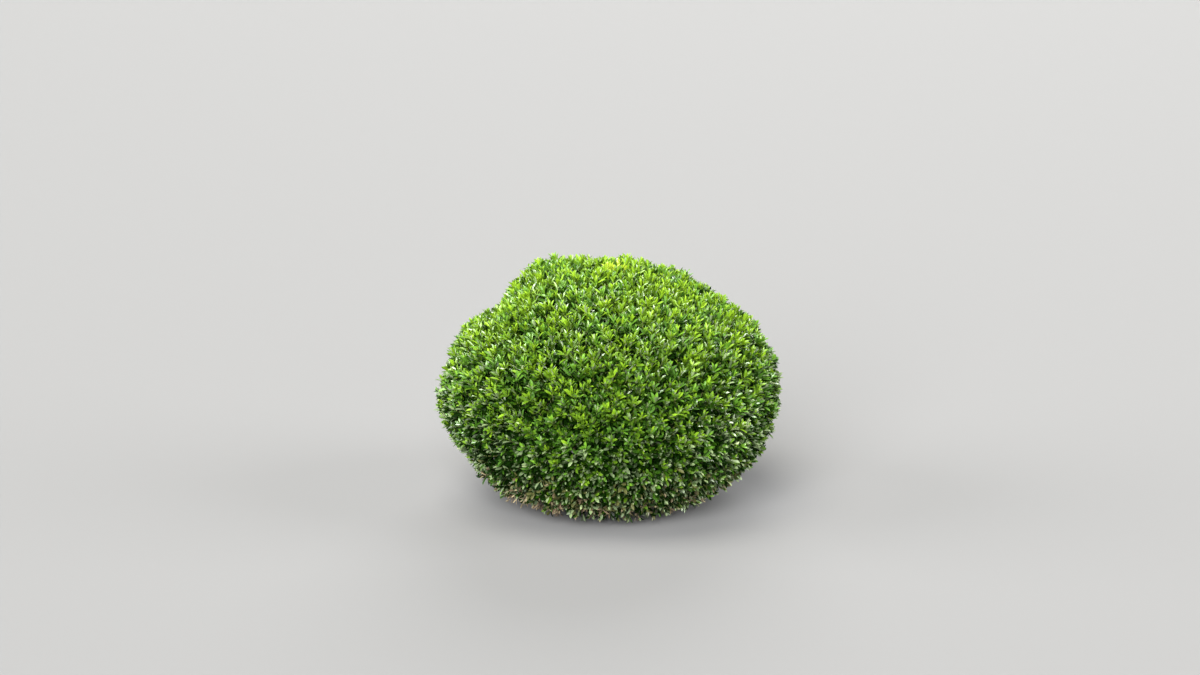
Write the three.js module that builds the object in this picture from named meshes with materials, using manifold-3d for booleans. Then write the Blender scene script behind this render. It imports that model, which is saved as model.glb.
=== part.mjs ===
// A clipped box ball as it grows in a garden bed: a short stem that forks at once into seven
// boughs, each of which carries its own share of the dense, rounded crown. Units are millimetres,
// +Z is up, and the origin is the middle of the stem's flat cut at ground level. The plant is
// seen from -Y, so -X is its left side.
import * as THREE from "three";
import { mergeVertices } from "three/addons/utils/BufferGeometryUtils.js";
import Module from "manifold-3d";

const wasm = await Module();
wasm.setup();

// The crown's clipped outline: a flattened ball, with shallow bumps and hollows that the shears
// leave, and a flatter shoulder at the upper left
const crownWidth = 600;
const crownHeight = 420;
const widestHeight = 192;
const skirtHeight = 14;
const groundGap = 4;
const bumpCount = 14;
const bumpHeight = 0.012;
const bumpWidth = 0.5;
const shoulder = { direction: new THREE.Vector3(-0.76, -0.1, 0.64), height: -0.05, width: 0.42 };

// Where the shears left the outline fuller or slacker than that. The direction is the middle of
// each place, and its length runs from front to back.
const frontToBack = new THREE.Vector3(0, -0.943, 0.3325);
const crest = { direction: new THREE.Vector3(-0.375, 0.308, 0.874), height: 0.062, width: 0.17, length: 0.45 };
const ledge = { direction: new THREE.Vector3(-0.719, 0.231, 0.655), height: -0.082, width: 0.17, length: 0.6 };
const flank = { direction: new THREE.Vector3(-0.978, 0.069, 0.196), height: -0.045, width: 0.22, length: 0.5 };
const tuck = { direction: new THREE.Vector3(-0.866, -0.166, -0.472), height: -0.049, width: 0.28, length: 0.6 };
const nick = { direction: new THREE.Vector3(0.682, 0.243, 0.69), height: -0.035, width: 0.16, length: 0.5 };

// The crown's inside, as depths below the outline, and the seams between its masses
const coreDepth = 27;
const coreLumps = 5;
const coreFoot = 36;
const nodeDepth = 84;
const hollowDepth = 122;
const hollowFootRadius = 98;
const topAngle = THREE.MathUtils.degToRad(41);
const sideMasses = 6;
const firstSeam = THREE.MathUtils.degToRad(12);
const seamWidth = 2;

// The stem
const stemHeight = 84;
const stemRadius = 15;
const stemLean = new THREE.Vector3(5, -3, 0);
const rootFlare = 13;
const rootRidges = 5;
const ridgeDepth = 0.45;
const flareFade = 5;
const forkSwelling = 0.1;
const forkShare = 0.78;
const headTaper = 0.22;

// The boughs
const sideBoughRadius = 6.6;
const leaderRadius = 8.2;
const boughTipRadius = 4.4;
const boughRoots = [0.58, 0.78];
const boughReach = 0.42;
const boughRise = [0.36, 0.42];
const boughSweep = 0.1;
const boughDip = 0.75;
const leaderSway = new THREE.Vector3(-9, 6, 0);
const boughEnd = 22;
const clearance = 0.3;

// Twigs and leaves, which are larger and fewer than on the living plant
const branchRadius = 3.5;
const sprayCount = 62;
const twigCount = 132;
const twigSeed = 1;
const twigRadius = 2.1;
const twigTipRadius = 1.3;
const twigBend = 0.45;
const twigWander = 0.3;
const upwardPull = 0.5;
const reachSpread = 5;
const leafLength = 46;
const leafWidth = 22;
const leafThickness = 1.8;
const leafFold = 2.4;
const leafBroadest = 0.46;
const leafSink = 0.4;
const smallestLeaf = 0.82;
const pairStagger = 0.9;
const leafPairs = [
  { back: 2, spread: THREE.MathUtils.degToRad(56), turn: 0 },
  { back: 10, spread: THREE.MathUtils.degToRad(74), turn: Math.PI / 2 },
];

const halfWidth = crownWidth / 2;
const halfHeight = crownHeight - widestHeight;
const crownMiddle = new THREE.Vector3(0, 0, widestHeight);
const lowestUp = (skirtHeight - widestHeight) / halfHeight;
const up = new THREE.Vector3(0, 0, 1);
const goldenAngle = Math.PI * (3 - Math.sqrt(5));
const tipReach = (leafLength - leafSink) * Math.cos(leafPairs[0].spread) - leafPairs[0].back;

// A seeded source of numbers from 0 to 1, so that every build grows the same plant
function seeded(seed) {
  let state = seed;
  return () => {
    state = (state * 1664525 + 1013904223) % 4294967296;
    return state / 4294967296;
  };
}

// Directions on a unit sphere, evenly spread from the top down to the height "lowest"
function spreadDirections(count, lowest) {
  return Array.from({ length: count }, (_, i) => {
    const height = 1 - ((i + 0.5) * (1 - lowest)) / count;
    const round = Math.sqrt(1 - height * height);
    return new THREE.Vector3(round * Math.cos(i * goldenAngle), round * Math.sin(i * goldenAngle), height);
  });
}

const drawBump = seeded(11);
const bumps = spreadDirections(bumpCount, -1).map((direction) => ({
  direction,
  height: bumpHeight * (2 * drawBump() - 1),
  width: bumpWidth,
}));
bumps.push(shoulder);

function swell(direction) {
  const round = bumps.reduce((sum, bump) => {
    const angle = direction.angleTo(bump.direction);
    return sum + bump.height * Math.exp(-((angle / bump.width) ** 2));
  }, 1);
  return [crest, ledge, flank, tuck, nick].reduce((sum, place) => {
    const offset = direction.clone().normalize().sub(place.direction);
    const along = offset.dot(frontToBack);
    const acrossSquared = offset.lengthSq() - along ** 2;
    return sum + place.height * Math.exp(-acrossSquared / place.width ** 2 - (along / place.length) ** 2);
  }, round);
}

function outward(direction) {
  return new THREE.Vector3(direction.x / halfWidth, direction.y / halfWidth, direction.z / halfHeight).normalize();
}

// The point a given depth below the clipped outline, in a direction of the unit sphere
function skinPoint(direction, depth) {
  return direction
    .clone()
    .multiply(new THREE.Vector3(halfWidth, halfWidth, halfHeight))
    .multiplyScalar(swell(direction))
    .addScaledVector(outward(direction), -depth)
    .add(crownMiddle);
}

// A three.js geometry as a solid that can be joined to others and cut
function solidOf(geometry) {
  const bare = geometry.index ? geometry.toNonIndexed() : geometry.clone();
  bare.deleteAttribute("normal");
  bare.deleteAttribute("uv");
  const merged = mergeVertices(bare, 1e-4);
  return new wasm.Manifold(
    new wasm.Mesh({
      numProp: 3,
      vertProperties: merged.attributes.position.array,
      triVerts: new Uint32Array(merged.index.array),
    }),
  );
}

// The largest body of a solid, with any sealed hollow filled and any loose scrap dropped
function mainBody(solid) {
  return solid.decompose().reduce((best, body) => (body.volume() > best.volume() ? body : best));
}

function geometryOf(solid) {
  const mesh = solid.getMesh();
  const position = new Float32Array(mesh.numVert * 3);
  for (let i = 0; i < mesh.numVert; i += 1) {
    position.set(mesh.vertProperties.subarray(i * mesh.numProp, i * mesh.numProp + 3), i * 3);
  }
  const geometry = new THREE.BufferGeometry()
    .setAttribute("position", new THREE.BufferAttribute(position, 3))
    .setIndex(new THREE.BufferAttribute(mesh.triVerts, 1))
    .toNonIndexed();
  geometry.computeVertexNormals();
  return geometry;
}

// A limb that tapers along a curve, with flat ends square to it
function limbGeometry(curve, startRadius, endRadius, sides, steps) {
  const geometry = new THREE.CylinderGeometry(1, 1, 1, sides, steps);
  const frames = curve.computeFrenetFrames(steps, false);
  const position = geometry.attributes.position;
  for (let i = 0; i < position.count; i += 1) {
    const along = position.getY(i) + 0.5;
    const ring = Math.round(along * steps);
    const radius = THREE.MathUtils.lerp(startRadius, endRadius, along);
    const point = curve
      .getPointAt(along)
      .addScaledVector(frames.binormals[ring], position.getX(i) * radius)
      .addScaledVector(frames.normals[ring], position.getZ(i) * radius);
    position.setXYZ(i, point.x, point.y, point.z);
  }
  return geometry;
}

// The stem in level slices: root flare with ridges at the ground, a slight lean, and a blunt,
// swollen head where the boughs fork. "grow" widens it all round.
function stemGeometry(grow) {
  const geometry = new THREE.CylinderGeometry(1, 1, 1, 3 * rootRidges, 7);
  geometry.rotateX(Math.PI / 2);
  const position = geometry.attributes.position;
  for (let i = 0; i < position.count; i += 1) {
    const share = position.getZ(i) + 0.5;
    const angle = Math.atan2(position.getY(i), position.getX(i));
    const flare = rootFlare * Math.exp(-share * flareFade) * (1 + ridgeDepth * Math.cos(rootRidges * angle));
    const swelling = forkSwelling * Math.exp(-(((share - forkShare) / 0.16) ** 2));
    const radius = stemRadius * (1 + swelling - headTaper * share ** 6) + flare + grow;
    const inward = Math.hypot(position.getX(i), position.getY(i)) * radius;
    position.setXYZ(
      i,
      inward * Math.cos(angle) + stemLean.x * share ** 2,
      inward * Math.sin(angle) + stemLean.y * share ** 2,
      share * stemHeight + grow * (2 * share - 1),
    );
  }
  return geometry;
}

// The crown's masses: one on top, and six round the sides like the slices of a cake
const masses = [{ name: "top_foliage", bough: "leader_bough", turn: 0 }];
for (let i = 1; i <= sideMasses; i += 1) {
  const turn = firstSeam + ((i - 0.5) * 2 * Math.PI) / sideMasses;
  masses.push({ name: `side_foliage_${i}`, bough: `side_bough_${i}`, turn });
}
const topMass = masses[0];
const halfSlice = Math.PI / sideMasses;

// How far a point lies inside a mass's own space, which is negative outside it
function roomIn(mass, point) {
  const across = Math.hypot(point.x, point.y);
  const fromCone = across * Math.cos(topAngle) - (point.z - widestHeight) * Math.sin(topAngle);
  const overGround = point.z - groundGap;
  if (mass === topMass) return Math.min(-fromCone, overGround);
  const angle = Math.atan2(point.y, point.x) - mass.turn;
  const off = Math.abs(Math.atan2(Math.sin(angle), Math.cos(angle)));
  return Math.min(fromCone, across * Math.sin(halfSlice - off), overGround);
}

function massAt(point) {
  return masses.find((mass) => roomIn(mass, point) > 0);
}

// The dense inside of the crown, as a lumpy shell over the hollow where the boughs run
function shellSolid() {
  const shaped = (depth, lumps, around, down) => {
    const geometry = new THREE.SphereGeometry(1, around, down);
    geometry.rotateX(Math.PI / 2);
    const position = geometry.attributes.position;
    for (let i = 0; i < position.count; i += 1) {
      const direction = new THREE.Vector3().fromBufferAttribute(position, i).normalize();
      const wave = Math.sin(13 * direction.x) * Math.sin(11 * direction.y + 1) * Math.sin(12 * direction.z + 2);
      const point = skinPoint(direction, depth + lumps * wave);
      position.setXYZ(i, point.x, point.y, Math.max(point.z, coreFoot));
    }
    return solidOf(geometry);
  };
  const foot = new THREE.CylinderGeometry(hollowFootRadius, hollowFootRadius, widestHeight, 12);
  foot.rotateX(Math.PI / 2).translate(0, 0, widestHeight / 2);
  return shaped(coreDepth, coreLumps, 24, 14).subtract(shaped(hollowDepth, 0, 16, 10)).subtract(solidOf(foot));
}

function coneSolid(drop) {
  const cone = new THREE.ConeGeometry(crownHeight * Math.tan(topAngle), crownHeight, 24);
  cone.rotateX(-Math.PI / 2).translate(0, 0, widestHeight + crownHeight / 2 - drop);
  return solidOf(cone);
}

function sliceSolid(mass) {
  const tip = new THREE.Vector2(seamWidth / 2 / Math.sin(halfSlice), 0).rotateAround(new THREE.Vector2(), mass.turn);
  const corners = [-halfSlice, halfSlice].map((off) => {
    const angle = mass.turn + off;
    return new THREE.Vector2(Math.cos(angle), Math.sin(angle)).multiplyScalar(crownWidth).add(tip);
  });
  const slice = new THREE.Shape([tip, ...corners]);
  return solidOf(new THREE.ExtrudeGeometry(slice, { depth: crownHeight, bevelEnabled: false }));
}

const shell = shellSolid();
function coreOf(mass) {
  if (mass === topMass) return shell.intersect(coneSolid(0));
  return shell.intersect(sliceSolid(mass)).subtract(coneSolid(seamWidth / Math.sin(topAngle)));
}

// The middle of a mass's share of the hollow, where its bough comes in
function entryOf(mass) {
  if (mass === topMass) return new THREE.Vector3(0.03, -0.02, 1).normalize();
  return new THREE.Vector3(Math.cos(mass.turn), Math.sin(mass.turn), -0.02).normalize();
}

// Each bough leaves the stem's head, two heights taking turns, and bends up to its mass
function boughCurve(mass) {
  const entry = entryOf(mass);
  const end = skinPoint(entry, hollowDepth);
  const inward = outward(entry).negate();
  if (mass === topMass) {
    const foot = stemLean.clone().setZ(stemHeight + clearance);
    end.addScaledVector(inward, boughEnd);
    const length = end.z - foot.z;
    const low = foot.clone().addScaledVector(up, 0.4 * length);
    const high = end.clone().addScaledVector(inward, 0.3 * length).add(leaderSway);
    return new THREE.CubicBezierCurve3(foot, low, high, end);
  }
  const turnTaken = masses.indexOf(mass) % 2;
  const foot = stemLean.clone().multiplyScalar(0.5).setZ(stemHeight * boughRoots[turnTaken]);
  end.addScaledVector(inward.setZ(-boughDip).normalize(), boughEnd);
  const bend = new THREE.Vector3(Math.cos(mass.turn - boughSweep), Math.sin(mass.turn - boughSweep), 0)
    .multiplyScalar(boughReach * Math.hypot(end.x, end.y))
    .setZ(THREE.MathUtils.lerp(foot.z, end.z, boughRise[turnTaken]));
  return new THREE.QuadraticBezierCurve3(foot, bend, end);
}

const stemRoom = solidOf(stemGeometry(clearance));
function boughSolid(mass) {
  const rootRadius = mass === topMass ? leaderRadius : sideBoughRadius;
  const bough = solidOf(limbGeometry(boughCurve(mass), rootRadius, boughTipRadius, 8, 8));
  return mainBody(bough.subtract(stemRoom));
}

// One leaf with its root near the origin and its tip along +Y: eight faces, folded at the midrib
function leafGeometry() {
  const leaf = new THREE.OctahedronGeometry(1);
  const position = leaf.attributes.position;
  for (let i = 0; i < position.count; i += 1) {
    const side = position.getX(i);
    const end = position.getY(i);
    const share = leafBroadest + (end > 0 ? 1 - leafBroadest : leafBroadest) * end;
    const rise = (position.getZ(i) * leafThickness) / 2 + Math.abs(side) * leafFold;
    position.setXYZ(i, (side * leafWidth) / 2, leafLength * share - leafSink, rise);
  }
  return leaf;
}
const leafShape = leafGeometry();

// Two leaves that face each other across a twig growing along "ahead"
function leafPair(twig, pair) {
  const level = Math.abs(twig.ahead.z) > 0.8 ? new THREE.Vector3(1, 0, 0) : up;
  const side = new THREE.Vector3().crossVectors(twig.ahead, level).normalize();
  side.applyAxisAngle(twig.ahead, twig.turn + pair.turn);
  return [1, -1].map((hand) => {
    const foot = twig.end.clone().addScaledVector(twig.ahead, hand * pairStagger - pair.back);
    const along = twig.ahead.clone().multiplyScalar(Math.cos(pair.spread));
    along.addScaledVector(side, hand * Math.sin(pair.spread));
    const face = twig.ahead.clone().multiplyScalar(Math.sin(pair.spread));
    face.addScaledVector(side, -hand * Math.cos(pair.spread));
    const across = new THREE.Vector3().crossVectors(along, face);
    const place = new THREE.Matrix4().makeBasis(across, along, face).setPosition(foot);
    return leafShape.clone().scale(twig.size, twig.size, twig.size).applyMatrix4(place);
  });
}

function staysIn(mass, geometry) {
  const position = geometry.attributes.position;
  const point = new THREE.Vector3();
  for (let i = 0; i < position.count; i += 1) {
    if (roomIn(mass, point.fromBufferAttribute(position, i)) < seamWidth / 2) return false;
  }
  return true;
}

// The branching rule. A mass's stem runs from its bough into the core and forks to a node for
// each spray. Every twig grows from the nearest node of its own mass, outwards and up to the
// light, and bears leaves in opposite pairs, each pair at right angles to the last. What would
// leave the mass's own space doesn't grow.
const nodes = spreadDirections(sprayCount, lowestUp).map((direction) => {
  const point = skinPoint(direction, nodeDepth);
  return { point, mass: massAt(point) };
});

const draw = seeded(twigSeed);
const twigs = spreadDirections(twigCount, lowestUp).map((direction) => {
  const wander = new THREE.Vector3(draw() - 0.5, draw() - 0.5, draw() - 0.5).multiplyScalar(twigWander);
  const ahead = outward(direction).addScaledVector(up, upwardPull).normalize().add(wander).normalize();
  const end = skinPoint(direction, reachSpread * draw()).addScaledVector(ahead, -tipReach);
  return { mass: massAt(end), end, ahead, turn: Math.PI * draw(), size: 1 - (1 - smallestLeaf) * draw() };
});

function nearestNode(mass, point) {
  const own = nodes.filter((node) => node.mass === mass);
  return own.reduce((best, node) => (node.point.distanceTo(point) < best.point.distanceTo(point) ? node : best));
}

function foliageSolid(mass) {
  const bough = boughCurve(mass);
  const tip = bough.getPointAt(1);
  const way = bough.getTangentAt(1);
  const fork = skinPoint(entryOf(mass), nodeDepth);
  const foot = tip.clone().addScaledVector(way, clearance);
  const bend = tip.clone().addScaledVector(way, boughEnd);
  const stem = new THREE.QuadraticBezierCurve3(foot, bend, fork);
  const pieces = [coreOf(mass), solidOf(limbGeometry(stem, boughTipRadius, boughTipRadius, 8, 3))];

  for (const node of nodes.filter((each) => each.mass === mass)) {
    if (node.point.distanceTo(fork) < boughTipRadius) continue;
    const branch = new THREE.LineCurve3(fork, node.point);
    pieces.push(solidOf(limbGeometry(branch, branchRadius, twigRadius, 3, 1)));
  }

  for (const twig of twigs.filter((each) => each.mass === mass)) {
    const root = nearestNode(mass, twig.end).point;
    const middle = twig.end.clone().addScaledVector(twig.ahead, -twigBend * root.distanceTo(twig.end));
    const curve = new THREE.QuadraticBezierCurve3(root, middle, twig.end);
    const stick = limbGeometry(curve, twigRadius, twigTipRadius, 3, 2);
    if (!staysIn(mass, stick)) continue;
    const leaves = leafPairs.flatMap((pair) => leafPair(twig, pair)).filter((leaf) => staysIn(mass, leaf));
    pieces.push(...[stick, ...leaves].map(solidOf));
  }
  return mainBody(wasm.Manifold.union(pieces));
}

const bark = new THREE.MeshStandardMaterial({ color: 0x75634c, roughness: 0.9, metalness: 0 });
const leafGreen = new THREE.MeshStandardMaterial({ color: 0x4f8a24, roughness: 0.45, metalness: 0 });

const plant = new THREE.Group();
function addPiece(name, geometry, material) {
  const piece = new THREE.Mesh(geometry, material);
  piece.name = name;
  plant.add(piece);
}

addPiece("stem", stemGeometry(0), bark);
for (const mass of masses) {
  addPiece(mass.bough, geometryOf(boughSolid(mass)), bark);
  addPiece(mass.name, geometryOf(foliageSolid(mass)), leafGreen);
}

export default plant;
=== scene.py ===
import math

import bmesh
import bpy
import numpy as np
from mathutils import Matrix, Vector, noise


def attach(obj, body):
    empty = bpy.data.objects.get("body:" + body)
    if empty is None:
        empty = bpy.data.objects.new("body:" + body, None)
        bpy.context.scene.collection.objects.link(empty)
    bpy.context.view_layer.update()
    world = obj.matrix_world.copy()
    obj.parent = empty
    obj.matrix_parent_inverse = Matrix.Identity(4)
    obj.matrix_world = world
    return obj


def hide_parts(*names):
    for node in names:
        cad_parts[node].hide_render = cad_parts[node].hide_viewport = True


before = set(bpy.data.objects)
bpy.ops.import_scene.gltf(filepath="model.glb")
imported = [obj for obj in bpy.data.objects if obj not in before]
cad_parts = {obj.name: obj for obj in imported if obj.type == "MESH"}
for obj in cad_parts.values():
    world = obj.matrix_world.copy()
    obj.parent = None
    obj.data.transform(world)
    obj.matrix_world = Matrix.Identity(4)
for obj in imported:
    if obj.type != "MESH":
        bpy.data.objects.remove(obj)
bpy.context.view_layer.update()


# The stem: a short trunk of box wood that flares into ridged roots at the ground, leans a
# little and swells where the boughs fork. Its bark is grey-brown and cracked lengthwise into
# small corky flakes, modelled as relief on a round tube.
stem_height = 0.084
stem_radius = 0.015
stem_lean = Vector((0.005, -0.003, 0))
root_flare = 0.013
root_ridges = 5
ridge_depth = 0.45
flare_fade = 5
fork_swelling = 0.1
fork_share = 0.78
fork_spread = 0.16
head_taper = 0.36
crack_width = 0.0032
crack_length = 0.017
crack_depth = 0.0011
fine_crack_scale = 2.3
fine_crack_share = 0.5


def straight_place(around, along, girth):
    """Where a point of the bark would be if its limb were straight and stood upright."""
    return Vector((math.cos(around) * girth, math.sin(around) * girth, along))


def bark_relief(place):
    """How far the bark stands out there, from about -1 in a crack to 1 on a flake."""
    crack = Vector((place.x / crack_width, place.y / crack_width, place.z / crack_length))
    return noise.noise(crack) + fine_crack_share * noise.noise(crack * fine_crack_scale)


def unit_tube(sides, steps):
    """A closed tube of radius 1 and length 1 along Z, cut into equal rings."""
    tube = bmesh.new()
    bmesh.ops.create_cone(tube, cap_ends=True, segments=sides, radius1=1, radius2=1, depth=1)
    bmesh.ops.translate(tube, verts=tube.verts, vec=(0, 0, 0.5))
    upright = [edge for edge in tube.edges if abs(edge.verts[0].co.z - edge.verts[1].co.z) > 0.5]
    bmesh.ops.subdivide_edges(tube, edges=upright, cuts=steps - 1)
    return tube


def piece_from(tube, name, material):
    """A smooth piece of bark made from a shaped tube."""
    bmesh.ops.recalc_face_normals(tube, faces=tube.faces)
    for face in tube.faces:
        face.smooth = True
    mesh = bpy.data.meshes.new(name)
    tube.to_mesh(mesh)
    tube.free()
    mesh.materials.append(material)
    piece = bpy.data.objects.new(name, mesh)
    bpy.context.scene.collection.objects.link(piece)
    return piece


def bark_material(name, flake_colour, crack_colour, moss_colour):
    """Dry, rough bark: pale flakes, dark cracks between them and a faint green bloom."""
    material = bpy.data.materials.new(name)
    material.use_nodes = True
    nodes, links = material.node_tree.nodes, material.node_tree.links
    surface = nodes["Principled BSDF"]
    grain = nodes.new("ShaderNodeAttribute")
    grain.attribute_name = "grain"
    stretch = nodes.new("ShaderNodeMapping")
    stretch.inputs["Scale"].default_value = (1, 1, 0.25)
    links.new(grain.outputs["Vector"], stretch.inputs["Vector"])
    flakes = nodes.new("ShaderNodeTexNoise")
    flakes.inputs["Scale"].default_value = 420
    flakes.inputs["Detail"].default_value = 6
    links.new(stretch.outputs["Vector"], flakes.inputs["Vector"])
    tint = nodes.new("ShaderNodeValToRGB")
    tint.color_ramp.elements[0].position = 0.33
    tint.color_ramp.elements[0].color = (*crack_colour, 1)
    tint.color_ramp.elements[1].position = 0.66
    tint.color_ramp.elements[1].color = (*flake_colour, 1)
    links.new(flakes.outputs["Fac"], tint.inputs["Fac"])
    bloom = nodes.new("ShaderNodeTexNoise")
    bloom.inputs["Scale"].default_value = 38
    bloom.inputs["Detail"].default_value = 3
    links.new(grain.outputs["Vector"], bloom.inputs["Vector"])
    bloom_share = nodes.new("ShaderNodeMapRange")
    bloom_share.inputs["From Min"].default_value = 0.52
    bloom_share.inputs["From Max"].default_value = 0.72
    bloom_share.inputs["To Max"].default_value = 0.55
    links.new(bloom.outputs["Fac"], bloom_share.inputs["Value"])
    mossy = nodes.new("ShaderNodeMix")
    mossy.data_type = "RGBA"
    mossy.inputs["B"].default_value = (*moss_colour, 1)
    links.new(bloom_share.outputs["Result"], mossy.inputs["Factor"])
    links.new(tint.outputs["Color"], mossy.inputs["A"])
    links.new(mossy.outputs["Result"], surface.inputs["Base Color"])
    dryness = nodes.new("ShaderNodeMapRange")
    dryness.inputs["To Min"].default_value = 0.95
    dryness.inputs["To Max"].default_value = 0.72
    links.new(flakes.outputs["Fac"], dryness.inputs["Value"])
    links.new(dryness.outputs["Result"], surface.inputs["Roughness"])
    relief = nodes.new("ShaderNodeBump")
    relief.inputs["Strength"].default_value = 0.6
    relief.inputs["Distance"].default_value = 0.0006
    links.new(flakes.outputs["Fac"], relief.inputs["Height"])
    links.new(relief.outputs["Normal"], surface.inputs["Normal"])
    return material


box_bark = bark_material(
    "box_bark",
    flake_colour=(0.185, 0.150, 0.105),
    crack_colour=(0.050, 0.038, 0.026),
    moss_colour=(0.085, 0.100, 0.038),
)

stem_tube = unit_tube(sides=90, steps=56)
grain = stem_tube.verts.layers.float_vector.new("grain")
for vert in stem_tube.verts:
    share = vert.co.z
    around = math.atan2(vert.co.y, vert.co.x)
    inward = math.hypot(vert.co.x, vert.co.y)
    flare = root_flare * math.exp(-share * flare_fade) * (1 + ridge_depth * math.cos(root_ridges * around))
    swelling = fork_swelling * math.exp(-(((share - fork_share) / fork_spread) ** 2))
    radius = stem_radius * (1 + swelling - head_taper * share ** 6) + flare
    vert[grain] = straight_place(around, share * stem_height, stem_radius)
    radius += crack_depth * bark_relief(vert[grain])
    centre = stem_lean * share ** 2
    vert.co = centre + Vector((math.cos(around), math.sin(around), 0)) * inward * radius
    vert.co.z = share * stem_height
stem = piece_from(stem_tube, "bark_stem", box_bark)
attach(stem, "root")
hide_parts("stem")


# The boughs: a leader that goes on up from the stem's head, and six limbs that leave the stem
# in turn at two heights and bend up to their own shares of the crown. Each is one tapering
# limb with a collar where it leaves the stem, and the same cracked bark in lower relief.
crown_width = 0.600
crown_height = 0.420
widest_height = 0.192
half_width = crown_width / 2
half_height = crown_height - widest_height
hollow_depth = 0.122
bump_seed = 11
bump_count = 14
bump_height = 0.012
bump_width = 0.5
shoulder_direction = np.array((-0.76, -0.1, 0.64))
shoulder_height = -0.05
shoulder_width = 0.42
front_to_back = np.array((0, -0.943, 0.3325))
clipped_places = {
    "crest": {"direction": (-0.375, 0.308, 0.874), "height": 0.062, "width": 0.17, "length": 0.45},
    "ledge": {"direction": (-0.719, 0.231, 0.655), "height": -0.082, "width": 0.17, "length": 0.6},
    "flank": {"direction": (-0.978, 0.069, 0.196), "height": -0.045, "width": 0.22, "length": 0.5},
    "tuck": {"direction": (-0.866, -0.166, -0.472), "height": -0.049, "width": 0.28, "length": 0.6},
    "nick": {"direction": (0.682, 0.243, 0.69), "height": -0.035, "width": 0.16, "length": 0.5},
}
side_bough_radius = 0.0066
leader_radius = 0.0082
bough_tip_radius = 0.0044
bough_roots = (0.58, 0.78)
bough_reach = 0.42
bough_rise = (0.36, 0.42)
bough_sweep = 0.1
bough_dip = 0.75
bough_root_lean = 0.5
leader_entry = (0.03, -0.02, 1)
side_entry_height = -0.02
leader_sway = Vector((-0.009, 0.006, 0))
leader_sink = 0.010
leader_low_share = 0.4
leader_high_share = 0.3
bough_end = 0.022
collar_size = 0.45
collar_length = 0.06
bough_crack_share = 0.6
side_masses = 6
first_seam = math.radians(12)
golden_angle = math.pi * (3 - math.sqrt(5))


def seeded(seed):
    """The same run of numbers from 0 to 1 that grows the solid plant."""
    state = seed
    while True:
        state = (state * 1664525 + 1013904223) % 4294967296
        yield state / 4294967296


def spread_directions(count, lowest):
    """Directions on a unit sphere, evenly spread from the top down to the height lowest."""
    step = np.arange(count)
    height = 1 - (step + 0.5) * (1 - lowest) / count
    level = np.sqrt(1 - height ** 2)
    turn = step * golden_angle
    return np.stack((level * np.cos(turn), level * np.sin(turn), height), axis=1)


draw_bump = seeded(bump_seed)
bump_directions = np.vstack((spread_directions(bump_count, -1),
                             shoulder_direction / np.linalg.norm(shoulder_direction)))
bump_heights = [bump_height * (2 * next(draw_bump) - 1) for _ in range(bump_count)] + [shoulder_height]
bump_widths = [bump_width] * bump_count + [shoulder_width]


def swell(directions):
    """How much the clipped outline stands out of a true ellipsoid, as a factor near 1."""
    angles = np.arccos(np.clip(directions @ bump_directions.T, -1, 1))
    factor = 1 + np.exp(-(angles / np.array(bump_widths)) ** 2) @ np.array(bump_heights)
    for place in clipped_places.values():
        offset = directions - np.array(place["direction"])
        along = offset @ front_to_back
        across_squared = (offset ** 2).sum(axis=1) - along ** 2
        factor += place["height"] * np.exp(-across_squared / place["width"] ** 2
                                           - (along / place["length"]) ** 2)
    return factor


def outward(directions):
    """The way that the clipped surface faces, in a direction of the unit sphere."""
    facing = directions / np.array((half_width, half_width, half_height))
    return facing / np.linalg.norm(facing, axis=1, keepdims=True)


def skin_points(directions, depths):
    """The points that lie at these depths below the clipped outline."""
    reach = directions * np.array((half_width, half_width, half_height)) * swell(directions)[:, None]
    return reach - outward(directions) * np.reshape(depths, (-1, 1)) + np.array((0, 0, widest_height))


class Mass:
    """One of the crown's masses: its names, the way it faces and where its bough comes in."""

    def __init__(self, foliage, bough, turn=None):
        self.foliage = foliage
        self.bough = bough
        self.turn = turn
        if turn is None:
            entry = np.array(leader_entry)
        else:
            entry = np.array((math.cos(turn), math.sin(turn), side_entry_height))
        self.entry = (entry / np.linalg.norm(entry)).reshape(1, 3)


masses = [Mass("top_foliage", "leader_bough")]
for number in range(1, side_masses + 1):
    turn = first_seam + (number - 0.5) * 2 * math.pi / side_masses
    masses.append(Mass(f"side_foliage_{number}", f"side_bough_{number}", turn))


def bough_curve(mass, number):
    """The four control points of a bough's curve, from the stem's middle to the bough's tip."""
    end = Vector(skin_points(mass.entry, hollow_depth)[0])
    inward = -Vector(outward(mass.entry)[0])
    if mass.turn is None:
        foot = stem_lean + Vector((0, 0, stem_height - leader_sink))
        end += inward * bough_end
        length = end.z - foot.z
        low = foot + Vector((0, 0, leader_low_share * length))
        high = end + inward * leader_high_share * length + leader_sway
        return foot, low, high, end
    foot = stem_lean * bough_root_lean + Vector((0, 0, stem_height * bough_roots[number % 2]))
    inward.z = -bough_dip
    end += inward.normalized() * bough_end
    reach = bough_reach * math.hypot(end.x, end.y)
    heading = mass.turn - bough_sweep
    rise = foot.z + (end.z - foot.z) * bough_rise[number % 2]
    bend = Vector((reach * math.cos(heading), reach * math.sin(heading), rise))
    return foot, foot.lerp(bend, 2 / 3), end.lerp(bend, 2 / 3), end


def curve_place(curve, share):
    """A place on a curve of four control points, and the way the curve runs there."""
    foot, low, high, end = curve
    rest = 1 - share
    place = foot * rest ** 3 + low * 3 * rest ** 2 * share + high * 3 * rest * share ** 2 + end * share ** 3
    way = (low - foot) * rest ** 2 + (high - low) * 2 * rest * share + (end - high) * share ** 2
    return place, way.normalized()


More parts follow.
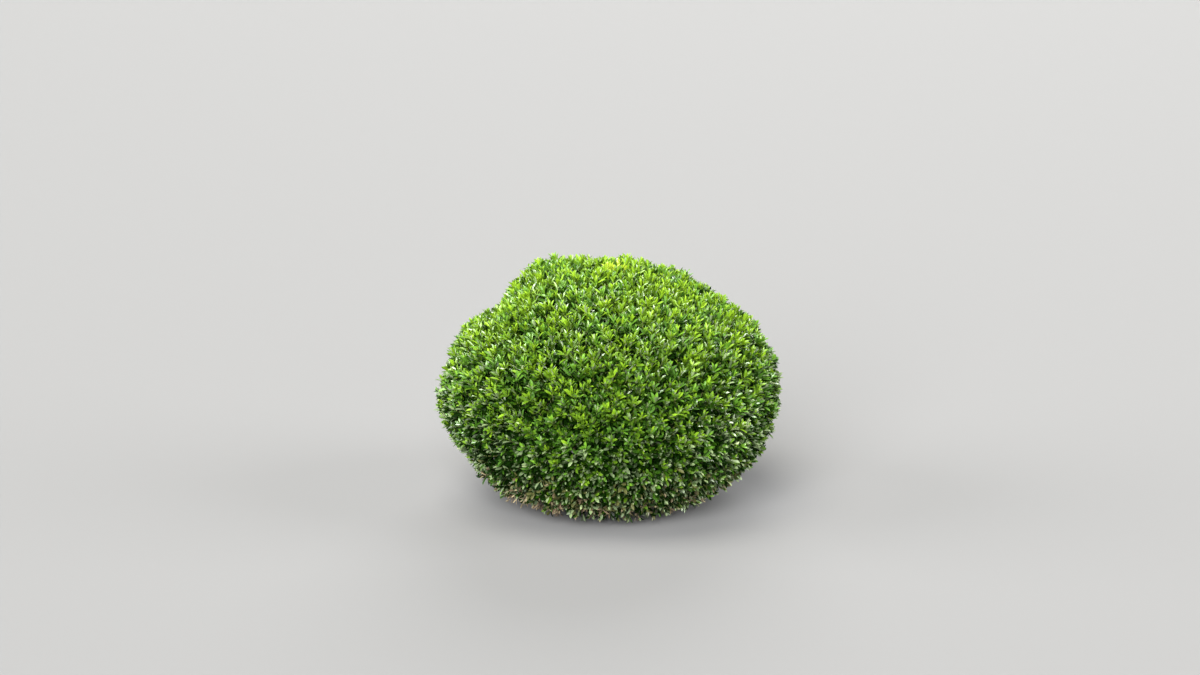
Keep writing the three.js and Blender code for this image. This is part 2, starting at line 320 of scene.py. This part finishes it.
for number, mass in enumerate(masses):
    curve = bough_curve(mass, number)
    bough_length = (curve[3] - curve[0]).length
    root_radius = leader_radius if mass.turn is None else side_bough_radius
    bough_tube = unit_tube(sides=28, steps=72)
    grain = bough_tube.verts.layers.float_vector.new("grain")
    for vert in bough_tube.verts:
        share = vert.co.z
        around = math.atan2(vert.co.y, vert.co.x)
        inward = math.hypot(vert.co.x, vert.co.y)
        centre, way = curve_place(curve, share)
        radius = root_radius + (bough_tip_radius - root_radius) * share
        radius *= 1 + collar_size * math.exp(-share / collar_length)
        vert[grain] = straight_place(around, number + share * bough_length, root_radius)
        radius += crack_depth * bough_crack_share * bark_relief(vert[grain])
        level = way.cross(Vector((0, 1, 0)) if abs(way.y) < 0.7 else Vector((1, 0, 0))).normalized()
        upright = level.cross(way)
        vert.co = centre + (level * math.cos(around) + upright * math.sin(around)) * inward * radius
    bough = piece_from(bough_tube, "bark_" + mass.bough, box_bark)
    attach(bough, "root")
    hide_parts(mass.bough)


# The twigs: inside the crown each mass forks from its bough's tip to its own branches, each
# branch to a fan of side twigs, and each side twig to the leafy shoots that end at the clipped
# surface. They are thin rods: brown branches, tan side twigs and green shoots of this year.
skirt_height = 0.006
mass_stem_overlap = 0.004
branch_count = 62
branch_depth = 0.084
branch_radius = 0.0035
branch_sag = (0, 0, -0.006)
side_twig_count = 900
side_twig_depth = 0.052
side_twig_unevenness = 0.006
side_twig_jitter = 0.4
side_twig_radius = 0.0017
side_twig_sag = (0, 0, -0.004)
lowest_side_twig = 0.012
last_ring = 0.94
leading_count = 2100
filling_count = 6300
inner_count = 4600
leading_depth = 0.0078
leading_unevenness = 0.0065
filling_depth = 0.0145
filling_unevenness = 0.007
inner_depth = 0.037
inner_unevenness = 0.006
clump_depth = 0.006
coarse_clump_scale = 7
fine_clump_scale = 17
fine_clump_share = 0.6
shoot_jitter = 0.6
shoot_radius = 0.00085
shoot_tip_radius = 0.00045
shoot_straight_share = 0.5
shoot_root_reach = 0.03
lowest_shoot = 0.004
lowest_pull = 0.5
highest_pull = 1.55
shoot_wander = 0.45
gap_share = 0.05
hollow_direction = np.array((-0.63, -0.69, -0.36))
hollow_width = 0.16
hollow_share = 0.88
dry_foot_share = 0.42
dry_foot_height = 0.065
dry_direction = np.array((-0.47, -0.42, -0.78))
dry_width = 0.25
dry_patch_share = 0.8
dry_patch_height = 0.075
top_angle = math.radians(41)
growth_seed = 20
draw = np.random.default_rng(growth_seed)
lowest_up = (skirt_height - widest_height) / half_height


def mass_numbers(points):
    """Which mass each point belongs to: 0 for the top, 1 to 6 round the sides."""
    across = np.hypot(points[:, 0], points[:, 1])
    on_top = across * math.cos(top_angle) < (points[:, 2] - widest_height) * math.sin(top_angle)
    turn = np.mod(np.arctan2(points[:, 1], points[:, 0]) - first_seam, 2 * math.pi)
    side = 1 + np.floor(turn / (2 * math.pi / side_masses)).astype(int)
    return np.where(on_top, 0, np.clip(side, 1, side_masses))


def nearest(points, numbers, parents, parent_numbers):
    """For each point, the nearest parent that belongs to the same mass."""
    chosen = np.zeros(len(points), int)
    for mass_number in range(len(masses)):
        own = np.flatnonzero(numbers == mass_number)
        candidates = np.flatnonzero(parent_numbers == mass_number)
        gaps = np.linalg.norm(points[own, None] - parents[None, candidates], axis=2)
        chosen[own] = candidates[np.argmin(gaps, axis=1)]
    return chosen


def scattered(count, jitter):
    """Directions spread over the crown, each moved a random part of the gap to the next."""
    directions = spread_directions(count, lowest_up)
    gap = math.sqrt(2 * math.pi * (1 - lowest_up) / count)
    directions = directions + draw.uniform(-jitter, jitter, directions.shape) * gap
    return directions / np.linalg.norm(directions, axis=1, keepdims=True)


def bezier(start, bend, end, share):
    """Places on curves with one bend each, and the way the curves run there."""
    share = np.asarray(share)[..., None]
    place = start * (1 - share) ** 2 + bend * 2 * share * (1 - share) + end * share ** 2
    way = (bend - start) * (1 - share) + (end - bend) * share
    return place, way / np.linalg.norm(way, axis=-1, keepdims=True)


def square_to(ways):
    """For each way, one direction square to it."""
    level = np.cross(ways, np.where(np.abs(ways[..., 2:]) > 0.8, (1.0, 0.0, 0.0), (0.0, 0.0, 1.0)))
    return level / np.linalg.norm(level, axis=-1, keepdims=True)


def rod_arrays(starts, bends, ends, root_radius, tip_radius, sides, rings):
    """Vertices and triangles of many thin rods at once, each closed at its root and tip."""
    count = len(starts)
    shares = np.linspace(0, last_ring, rings)
    places, ways = bezier(starts[:, None], bends[:, None], ends[:, None], np.tile(shares, (count, 1)))
    level = square_to(ways)
    upright = np.cross(ways, level)
    radii = root_radius + (tip_radius - root_radius) * shares
    turns = np.arange(sides) * 2 * math.pi / sides
    round_it = level[:, :, None] * np.cos(turns)[:, None] + upright[:, :, None] * np.sin(turns)[:, None]
    ring_points = places[:, :, None] + round_it * radii[:, None, None]
    points = np.concatenate((ring_points.reshape(count, -1, 3), ends[:, None]), axis=1)
    faces = [[0, side + 1, side] for side in range(1, sides - 1)]
    for ring in range(rings - 1):
        for side in range(sides):
            low, low_next = ring * sides + side, ring * sides + (side + 1) % sides
            faces += [[low, low_next, low_next + sides], [low, low_next + sides, low + sides]]
    last = (rings - 1) * sides
    faces += [[last + side, last + (side + 1) % sides, rings * sides] for side in range(sides)]
    faces = np.array(faces)[None] + np.arange(count)[:, None, None] * points.shape[1]
    return points.reshape(-1, 3), faces.reshape(-1, 3)


def piece_of_triangles(name, points, faces, materials, material_numbers):
    """One piece from arrays of points and triangles."""
    mesh = bpy.data.meshes.new(name)
    mesh.vertices.add(len(points))
    mesh.vertices.foreach_set("co", points.astype(np.float32).ravel())
    mesh.loops.add(faces.size)
    mesh.loops.foreach_set("vertex_index", faces.astype(np.int32).ravel())
    mesh.polygons.add(len(faces))
    mesh.polygons.foreach_set("loop_start", np.arange(0, faces.size, 3, dtype=np.int32))
    for material in materials:
        mesh.materials.append(material)
    mesh.polygons.foreach_set("material_index", material_numbers.astype(np.int32))
    mesh.update(calc_edges=True)
    mesh.polygons.foreach_set("use_smooth", np.ones(len(faces), bool))
    mesh.validate()
    piece = bpy.data.objects.new(name, mesh)
    bpy.context.scene.collection.objects.link(piece)
    return piece


def plain_finish(name, colour, roughness, wax=0.0, shine=0.5, sheen=(1, 1, 1)):
    """One even colour, as a twig or a leaf has it at this size, with a coat of wax over it."""
    material = bpy.data.materials.new(name)
    material.use_nodes = True
    surface = material.node_tree.nodes["Principled BSDF"]
    surface.inputs["Base Color"].default_value = (*colour, 1)
    surface.inputs["Roughness"].default_value = roughness
    surface.inputs["Specular IOR Level"].default_value = shine
    surface.inputs["Specular Tint"].default_value = (*sheen, 1)
    surface.inputs["Coat Weight"].default_value = wax
    surface.inputs["Coat Roughness"].default_value = 0.2
    return material


branch_directions = spread_directions(branch_count, lowest_up)
branch_points = skin_points(branch_directions, np.full(branch_count, branch_depth))
branch_masses = mass_numbers(branch_points)

side_twig_directions = scattered(side_twig_count, side_twig_jitter)
side_twig_depths = side_twig_depth + draw.uniform(-side_twig_unevenness, side_twig_unevenness,
                                                  side_twig_count)
side_twig_points = skin_points(side_twig_directions, side_twig_depths)
side_twig_points[:, 2] = np.maximum(side_twig_points[:, 2], lowest_side_twig)
side_twig_masses = mass_numbers(side_twig_points)
side_twig_parents = nearest(side_twig_points, side_twig_masses, branch_points, branch_masses)

kind_counts = (leading_count, filling_count, inner_count)
shoot_count = sum(kind_counts)
shoot_kinds = np.repeat((0, 1, 2), kind_counts)
shoot_directions = np.vstack([scattered(count, shoot_jitter) for count in kind_counts])
clumps = np.array([noise.noise(Vector(way) * coarse_clump_scale)
                   + fine_clump_share * noise.noise(Vector(way) * fine_clump_scale)
                   for way in shoot_directions])
shoot_depths = np.array((leading_depth, filling_depth, inner_depth))[shoot_kinds]
shoot_depths += (np.array((leading_unevenness, filling_unevenness, inner_unevenness))[shoot_kinds]
                 * draw.uniform(-1, 1, shoot_count))
shoot_depths -= np.where(shoot_kinds == 1, clump_depth * clumps, 0)
shoot_tips = skin_points(shoot_directions, shoot_depths)
shoot_ways = outward(shoot_directions)
shoot_ways[:, 2] += lowest_pull + (highest_pull - lowest_pull) * shoot_tips[:, 2] / crown_height
shoot_ways /= np.linalg.norm(shoot_ways, axis=1, keepdims=True)
shoot_ways += draw.uniform(-0.5, 0.5, shoot_ways.shape) * shoot_wander
shoot_ways /= np.linalg.norm(shoot_ways, axis=1, keepdims=True)
hollow_gaps = np.linalg.norm(shoot_directions - hollow_direction, axis=1)
lost_share = gap_share + hollow_share * np.exp(-(hollow_gaps / hollow_width) ** 2)
kept = (draw.random(shoot_count) > lost_share) & (shoot_tips[:, 2] > lowest_shoot)
shoot_tips, shoot_ways, shoot_directions = shoot_tips[kept], shoot_ways[kept], shoot_directions[kept]
clumps, shoot_kinds, hollow_gaps = clumps[kept], shoot_kinds[kept], hollow_gaps[kept]
shoot_heights = shoot_tips[:, 2]
dry_gaps = np.linalg.norm(shoot_directions - dry_direction, axis=1)
dry_share = (dry_foot_share * np.clip(1 - shoot_heights / dry_foot_height, 0, 1)
             + dry_patch_share * np.exp(-(dry_gaps / dry_width) ** 2) * (shoot_heights < dry_patch_height))
withered_shoots = draw.random(len(shoot_tips)) < dry_share
shoot_masses = mass_numbers(shoot_tips)
shoot_parents = nearest(shoot_tips - shoot_root_reach * shoot_ways, shoot_masses,
                        side_twig_points, side_twig_masses)
shoot_roots = side_twig_points[shoot_parents]
shoot_lengths = np.linalg.norm(shoot_tips - shoot_roots, axis=1, keepdims=True)
shoot_bends = shoot_tips - shoot_straight_share * shoot_lengths * shoot_ways

twig_finishes = [
    # The brown twig is darker than the stem's bark, partly as painted shade in the gaps between leaves.
    plain_finish("brown_twig", (0.052, 0.040, 0.026), 0.8),
    plain_finish("tan_twig", (0.18, 0.135, 0.08), 0.75),
    plain_finish("green_shoot", (0.22, 0.25, 0.07), 0.6),
]
brown, tan, green = range(len(twig_finishes))

for number, mass in enumerate(masses):
    tip, way = curve_place(bough_curve(mass, number), 1)
    fork = skin_points(mass.entry, branch_depth)
    tip = np.array(tip).reshape(1, 3)
    way = np.array(way).reshape(1, 3)
    stem_rods = rod_arrays(tip - way * mass_stem_overlap, tip + way * bough_end, fork,
                           bough_tip_radius, branch_radius, sides=10, rings=6)
    own = np.flatnonzero(branch_masses == number)
    ends = branch_points[own]
    forks = np.repeat(fork, len(own), axis=0)
    branch_rods = rod_arrays(forks, (forks + ends) / 2 + branch_sag, ends, branch_radius,
                             side_twig_radius, sides=6, rings=6)
    own = np.flatnonzero(side_twig_masses == number)
    ends = side_twig_points[own]
    roots = branch_points[side_twig_parents[own]]
    side_rods = rod_arrays(roots, (roots + ends) / 2 + side_twig_sag, ends, side_twig_radius,
                           shoot_radius, sides=4, rings=4)
    own = np.flatnonzero(shoot_masses == number)
    shoot_rods = rod_arrays(shoot_roots[own], shoot_bends[own], shoot_tips[own], shoot_radius,
                            shoot_tip_radius, sides=3, rings=3)
    rods = [stem_rods, branch_rods, side_rods, shoot_rods]
    offsets = np.cumsum([0] + [len(points) for points, _ in rods[:-1]])
    points = np.concatenate([points for points, _ in rods])
    faces = np.concatenate([faces + offset for (_, faces), offset in zip(rods, offsets)])
    woody_finishes = np.repeat([brown, brown, tan], [len(rod_faces) for _, rod_faces in rods[:3]])
    shoot_finishes = np.where(withered_shoots[own], tan, green)
    shoot_finishes = np.repeat(shoot_finishes, len(shoot_rods[1]) // len(own))
    finishes = np.concatenate((woody_finishes, shoot_finishes))
    twigs = piece_of_triangles("twigs_" + mass.foliage, points, faces, twig_finishes, finishes)
    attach(twigs, "root")
    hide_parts(mass.foliage)


# The leaves: small, leathery and evergreen, in opposite pairs up every shoot, each pair at
# right angles to the last. A leaf is a blunt oval of six faces, folded at the midrib and bent
# back at the tip, glossy above and pale below. New ones on top are lime, older ones darker,
# and the greens also darken lower down and deeper in as painted shade.
leaf_length = 0.0175
leaf_width = 0.0053
clipped_top = 0.4250
leaf_outline = np.array((
    (0, 0, 0),
    (-0.88, 0.36, 0.50), (0, 0.48, 0.0), (0.88, 0.36, 0.50),
    (-0.80, 0.78, 0.30), (0.80, 0.78, 0.30),
    (0, 1.0, -0.36),
))
leaf_faces = np.array((
    (0, 2, 1), (0, 3, 2), (1, 2, 4), (2, 3, 5), (4, 2, 6), (2, 5, 6),
))
midrib = (0, 2, 6)
pair_backs = np.array((0.0004, 0.0026, 0.0058, 0.0096, 0.0139, 0.0188, 0.0243))
pair_spreads = np.radians((12, 25, 34, 41, 47, 52, 57))
pair_sizes = np.array((0.60, 0.85, 1.0, 1.05, 1.05, 1.0, 0.92))
innermost_share = 0.1
turn_variety = 0.2
spread_variety = 0.14
roll_variety = 0.25
leaf_size_variety = 0.1
shoot_size_range = (0.85, 1.12)
low_shrinkage = 0.2
broadest = 1.28
narrowing = 0.34
narrowing_start = 0.06
narrowing_height = 0.3
withered_breadth = 0.6
lowest_leaf = 0.002

# Below which heights the crown is low or thin, and the shares of its leaves that are lost
low_height = 0.26
thin_height = 0.13
thin_losses = 0.55
withered_losses = 0.2
inner_losses = 0.25

# The green of a leaf, as a step from 0, lime, to 6, nearly black. The steps are partly the
# leaf's age and partly painted shade: darker towards the bottom, for shoots deeper in the
# crown, where the clumps sink in and near the hollow
height_shade_tones = 2.8
clump_shade_tones = 1.05
kind_shade_tones = np.array((0.4, 2.2, 4.8))
low_shade_tones = 1.0
thin_shade_tones = 0.5
pair_age_and_shade_tones = 0.65
shoot_tone_variety = 0.45
leaf_tone_variety = 0.9
foot_shade_step = 2.6
low_shade_height = 0.36
hollow_shade_tones = 1.1
hollow_shade_width = 1.6 * hollow_width
new_growth = {
    "yellow tip": {"direction": (0.052, 0.014, 0.998), "width": 0.07, "earlier": 3.0, "yellow": 1.0},
    "lime patch": {"direction": (0.407, -0.390, 0.826), "width": 0.20, "earlier": 0.9, "yellow": 0.0},
    "lime tip": {"direction": (0.517, -0.689, 0.512), "width": 0.06, "earlier": 2.0, "yellow": 0.0},
}
yellow_limit = 0.45
cool_patch_scale = 6
cool_patch_shift = Vector((3, 7, 1))
cool_variety = 0.2
cool_limit = 0.12
first_cooled = 2

# The leaves that show their paler side, in steps that follow the leaf's own with its painted
# shade, more and paler near the foot as partly a painted sheen, and the olive, straw and
# withered ones at the foot
underside_tilt = -0.1
low_underside_and_sheen_share = 0.3
underside_tone_share = 0.5
low_sheen_paleness = 1.45
olive_share = 0.3
dead_share = 0.08
straw_share = 0.42

# The finishes: name, colour, roughness and wax, then the shine where it isn't the usual one.
# From mature down to shaded the greens are partly older leaves and partly painted shade, the
# deep and shaded ones nearly black for the shade inside the crown
green_leaves = (
    ("lime_leaf", (0.222, 0.372, 0.014), 0.44, 0.0, 0.22),
    ("bright_leaf", (0.174, 0.313, 0.012), 0.42, 0.05, 0.28),
    ("young_leaf", (0.140, 0.259, 0.010), 0.38, 0.2, 0.38),
    ("green_leaf", (0.100, 0.200, 0.008), 0.35, 0.5, 0.45),
    ("mature_leaf", (0.062, 0.133, 0.006), 0.32, 0.75, 0.45),
    ("deep_shade_leaf", (0.020, 0.060, 0.003), 0.34, 0.25, 0.12),
    ("shaded_leaf", (0.004, 0.016, 0.001), 0.45, 0.0, 0.04),
)
cool_leaves = (
    ("cool_young_leaf", (0.121, 0.266, 0.019), 0.38, 0.2, 0.38),
    ("cool_green_leaf", (0.083, 0.202, 0.017), 0.35, 0.5, 0.45),
    ("cool_mature_leaf", (0.051, 0.130, 0.014), 0.32, 0.75, 0.45),
)
undersides = (
    ("pale_underside", (0.33, 0.40, 0.19), 0.5, 0.1),
    ("green_underside", (0.20, 0.27, 0.12), 0.5, 0.1),
    ("dull_underside", (0.12, 0.17, 0.075), 0.5, 0.1),
    ("dark_underside", (0.034, 0.056, 0.019), 0.5, 0.1),
)
leaf_sheen = (0.95, 1, 0.85)
leaf_finishes = [plain_finish(*leaf, leaf_sheen) for leaf in green_leaves + cool_leaves]
leaf_finishes += [plain_finish(*underside) for underside in undersides]
leaf_finishes.append(plain_finish("yellow_leaf", (0.38, 0.50, 0.03), 0.45, 0.2))
leaf_finishes.append(plain_finish("straw_leaf", (0.33, 0.27, 0.155), 0.75))
leaf_finishes.append(plain_finish("withered_leaf", (0.120, 0.084, 0.044), 0.8))
leaf_finishes.append(plain_finish("olive_leaf", (0.085, 0.090, 0.024), 0.5, 0.2))
darkest = len(green_leaves) - 1
first_cool = len(green_leaves)
first_underside = first_cool + len(cool_leaves)
yellow = first_underside + len(undersides)
straw = yellow + 1
withered = straw + 1
olive = withered + 1

shoot_total = len(shoot_tips)
pair_total = len(pair_backs)
cool_patches = np.array([noise.noise(Vector(way) * cool_patch_scale + cool_patch_shift)
                         for way in shoot_directions])
cool_shoots = cool_patches + draw.normal(0, cool_variety, shoot_total) > cool_limit
shoot_turns = draw.uniform(0, math.pi, shoot_total)
shoot_sizes = draw.uniform(*shoot_size_range, shoot_total)
thinness = np.clip(1 - shoot_heights / thin_height, 0, 1)
lowness = np.clip(1 - shoot_heights / low_height, 0, 1)
# Painted shade: each shoot's green steps darker towards the bottom, for the filling and inner shoots deeper
# in, where the clumps sink in and near the hollow.
shoot_tones = height_shade_tones * (1 - shoot_heights / crown_height) - clump_shade_tones * clumps
shoot_tones += kind_shade_tones[shoot_kinds]
shoot_tones += draw.normal(0, shoot_tone_variety, shoot_total) + low_shade_tones * lowness + thin_shade_tones * thinness
shoot_tones += hollow_shade_tones * np.exp(-(hollow_gaps / hollow_shade_width) ** 2)
# Near the foot no leaf is lighter than this step: more painted shade towards the bottom.
low_shade_steps = foot_shade_step * np.clip(1 - shoot_heights / low_shade_height, 0, 1)
yellow_share = np.zeros(shoot_total)
for place in new_growth.values():
    gaps = np.linalg.norm(shoot_directions - np.array(place["direction"]), axis=1)
    fade = np.exp(-(gaps / place["width"]) ** 2)
    shoot_tones -= place["earlier"] * fade
    yellow_share += place["yellow"] * fade
yellowing = yellow_share > yellow_limit
breadths = broadest - narrowing * np.clip((shoot_heights - narrowing_start) / narrowing_height, 0, 1)
breadths[withered_shoots] *= withered_breadth
shoot_sizes *= 1 - low_shrinkage * lowness
shoot_outward = outward((shoot_tips - (0, 0, widest_height)) / (half_width, half_width, half_height))

sideways, lengthways, folded = leaf_outline.T
half_widths = breadths[:, None, None] * leaf_width / 2
leaf_points, leaf_tones, leaf_masses = [], [], []
for step in range(pair_total):
    shares = 1 - pair_backs[step] / shoot_lengths[:, 0]
    feet, ways = bezier(shoot_roots, shoot_bends, shoot_tips, np.clip(shares, innermost_share, 1))
    first_side = square_to(ways)
    second_side = np.cross(ways, first_side)
    turns = (shoot_turns + step * math.pi / 2 + draw.normal(0, turn_variety, shoot_total))[:, None]
    pair_side = first_side * np.cos(turns) + second_side * np.sin(turns)
    for hand in (1, -1):
        spreads = (pair_spreads[step] + draw.normal(0, spread_variety, shoot_total))[:, None]
        along = ways * np.cos(spreads) + hand * pair_side * np.sin(spreads)
        face = ways * np.sin(spreads) - hand * pair_side * np.cos(spreads)
        across = np.cross(along, face)
        roll = draw.normal(0, roll_variety, shoot_total)[:, None]
        across, face = (across * np.cos(roll) + face * np.sin(roll),
                        face * np.cos(roll) - across * np.sin(roll))
        sizes = pair_sizes[step] * shoot_sizes
        sizes = sizes * draw.uniform(1 - leaf_size_variety, 1 + leaf_size_variety, shoot_total)
        shape = (across[:, None] * sideways[:, None] * half_widths
                 + along[:, None] * (lengthways * leaf_length)[:, None]
                 + face[:, None] * folded[:, None] * half_widths) * sizes[:, None, None]
        points = feet[:, None] + shape
        leaf_variety = draw.normal(0, leaf_tone_variety, shoot_total)
        # Each pair further back on the shoot is darker: partly older, partly painted shade deeper in.
        raw_tones = np.maximum(shoot_tones + pair_age_and_shade_tones * step + leaf_variety, low_shade_steps)
        tones = np.clip(np.round(raw_tones), 0, darkest)
        cooled = cool_shoots & (tones >= first_cooled) & (tones < first_cooled + len(cool_leaves))
        tones[cooled] += first_cool - first_cooled
        below = (face * shoot_outward).sum(axis=1) < underside_tilt
        # Near the foot more leaves show their pale side, and paler: partly real undersides, partly a
        # painted sheen.
        below |= draw.random(shoot_total) < low_underside_and_sheen_share * lowness
        paler = np.round(raw_tones * underside_tone_share - low_sheen_paleness * lowness)
        paler = first_underside + np.clip(paler, 0, len(undersides) - 1)
        tones = np.where(below, paler, tones)
        tones[draw.random(shoot_total) < olive_share * thinness] = olive
        tones[yellowing] = yellow
        dry = withered_shoots | (draw.random(shoot_total) < dead_share * thinness ** 2)
        tones[dry] = np.where(draw.random(dry.sum()) < straw_share, straw, withered)
        losses = thin_losses * thinness + withered_losses * withered_shoots
        losses[shoot_kinds == 2] += inner_losses * step
        clear = (points[:, :, 2].min(axis=1) > lowest_leaf) & (points[:, :, 2].max(axis=1) < clipped_top)
        grows = clear & (draw.random(shoot_total) > losses)
        leaf_points.append(points[grows])
        leaf_tones.append(tones[grows])
        leaf_masses.append(shoot_masses[grows])
leaf_points = np.concatenate(leaf_points)
leaf_tones = np.concatenate(leaf_tones)
leaf_masses = np.concatenate(leaf_masses)

for number, mass in enumerate(masses):
    own = leaf_masses == number
    points = leaf_points[own]
    faces = leaf_faces[None] + np.arange(len(points))[:, None, None] * len(leaf_outline)
    tones = np.repeat(leaf_tones[own], len(leaf_faces))
    leaves = piece_of_triangles("leaves_" + mass.foliage, points.reshape(-1, 3), faces.reshape(-1, 3),
                                leaf_finishes, tones)
    edge_ends = np.zeros(len(leaves.data.edges) * 2, np.int32)
    leaves.data.edges.foreach_get("vertices", edge_ends)
    on_midrib = np.isin(edge_ends.reshape(-1, 2) % len(leaf_outline), midrib).all(axis=1)
    crease = leaves.data.attributes.new("sharp_edge", "BOOLEAN", "EDGE")
    crease.data.foreach_set("value", on_midrib)
    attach(leaves, "root")
    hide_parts(mass.foliage)


# The floor: one plain, pale, matt sheet that runs out past the picture on every side. It is
# part of the studio and not of the plant.
floor_size = 40
floor_shape = bmesh.new()
bmesh.ops.create_grid(floor_shape, x_segments=1, y_segments=1, size=floor_size / 2)
floor_mesh = bpy.data.meshes.new("floor")
floor_shape.to_mesh(floor_mesh)
floor_shape.free()
floor = bpy.data.objects.new("floor", floor_mesh)
bpy.context.scene.collection.objects.link(floor)
floor_mesh.materials.append(plain_finish("pale_floor", (0.175, 0.175, 0.175), 0.9))


# The light: five broad, soft lights that fall evenly over the whole floor, the strongest from
# the viewer's side and above, the others from overhead, from behind and from either side. The
# surround is pale, and brighter where the camera sees it than where it lights the plant.
crown_middle = Vector((0, 0, widest_height))
softness = math.radians(40)
glow_on_plant = 0.13
glow_in_view = 0.72
white = (1, 1, 1)
warm_white = (1, 0.98, 0.9)
cool_white = (0.95, 0.98, 0.95)
broad_lights = (
    ("overhead_light", (-0.5, -0.35, 2.4), 2.75, warm_white),
    ("rear_light", (0.3, 2.4, 1.3), 2.7, white),
    ("right_light", (2.4, -0.3, 1.2), 2.8, white),
    ("left_light", (-2.4, -0.1, 1.2), 2.8, white),
    ("front_light", (-0.5, -2.3, 1.4), 8.3, white),
)
for name, place, strength, colour in broad_lights:
    light_data = bpy.data.lights.new(name, "SUN")
    light_data.energy = strength
    light_data.color = colour
    light_data.angle = softness
    light = bpy.data.objects.new(name, light_data)
    light.location = place
    light.rotation_euler = (crown_middle - Vector(place)).to_track_quat("-Z", "Y").to_euler()
    bpy.context.scene.collection.objects.link(light)
surround = bpy.data.worlds.new("surround")
surround.use_nodes = True
backdrop = surround.node_tree.nodes["Background"]
backdrop.inputs["Color"].default_value = (*cool_white, 1)
sight = surround.node_tree.nodes.new("ShaderNodeLightPath")
brightness = surround.node_tree.nodes.new("ShaderNodeMapRange")
brightness.inputs["To Min"].default_value = glow_on_plant
brightness.inputs["To Max"].default_value = glow_in_view
surround.node_tree.links.new(sight.outputs["Is Camera Ray"], brightness.inputs["Value"])
surround.node_tree.links.new(brightness.outputs["Result"], backdrop.inputs["Strength"])
bpy.context.scene.world = surround


# The camera: where the photograph was taken from, 15 degrees above level and about 5 metres
# off with a long lens, aimed so that the ball's middle falls where it does in the picture. Its
# colours are shown as they are, with no film curve.
picture_width = 1200
picture_height = 675
ball_middle_pixel = (607, 390)
lens_length = 85
sensor_width = 36
viewing_angle = math.radians(15)
viewing_distance = 4.94

pixels_per_radian = picture_width * lens_length / sensor_width
toward_camera = Vector((0, -math.cos(viewing_angle), math.sin(viewing_angle)))
picture_up = Vector((0, math.sin(viewing_angle), math.cos(viewing_angle)))
left_of_middle = (picture_width / 2 - ball_middle_pixel[0]) * viewing_distance / pixels_per_radian
above_middle = (ball_middle_pixel[1] - picture_height / 2) * viewing_distance / pixels_per_radian
aim = crown_middle + Vector((left_of_middle, 0, 0)) + picture_up * above_middle
camera_data = bpy.data.cameras.new("camera")
camera_data.lens = lens_length
camera_data.sensor_width = sensor_width
camera = bpy.data.objects.new("camera", camera_data)
camera.location = crown_middle + toward_camera * viewing_distance
camera.rotation_euler = (aim - camera.location).to_track_quat("-Z", "Y").to_euler()
bpy.context.scene.collection.objects.link(camera)
bpy.context.scene.camera = camera
bpy.context.scene.view_settings.view_transform = "Standard"
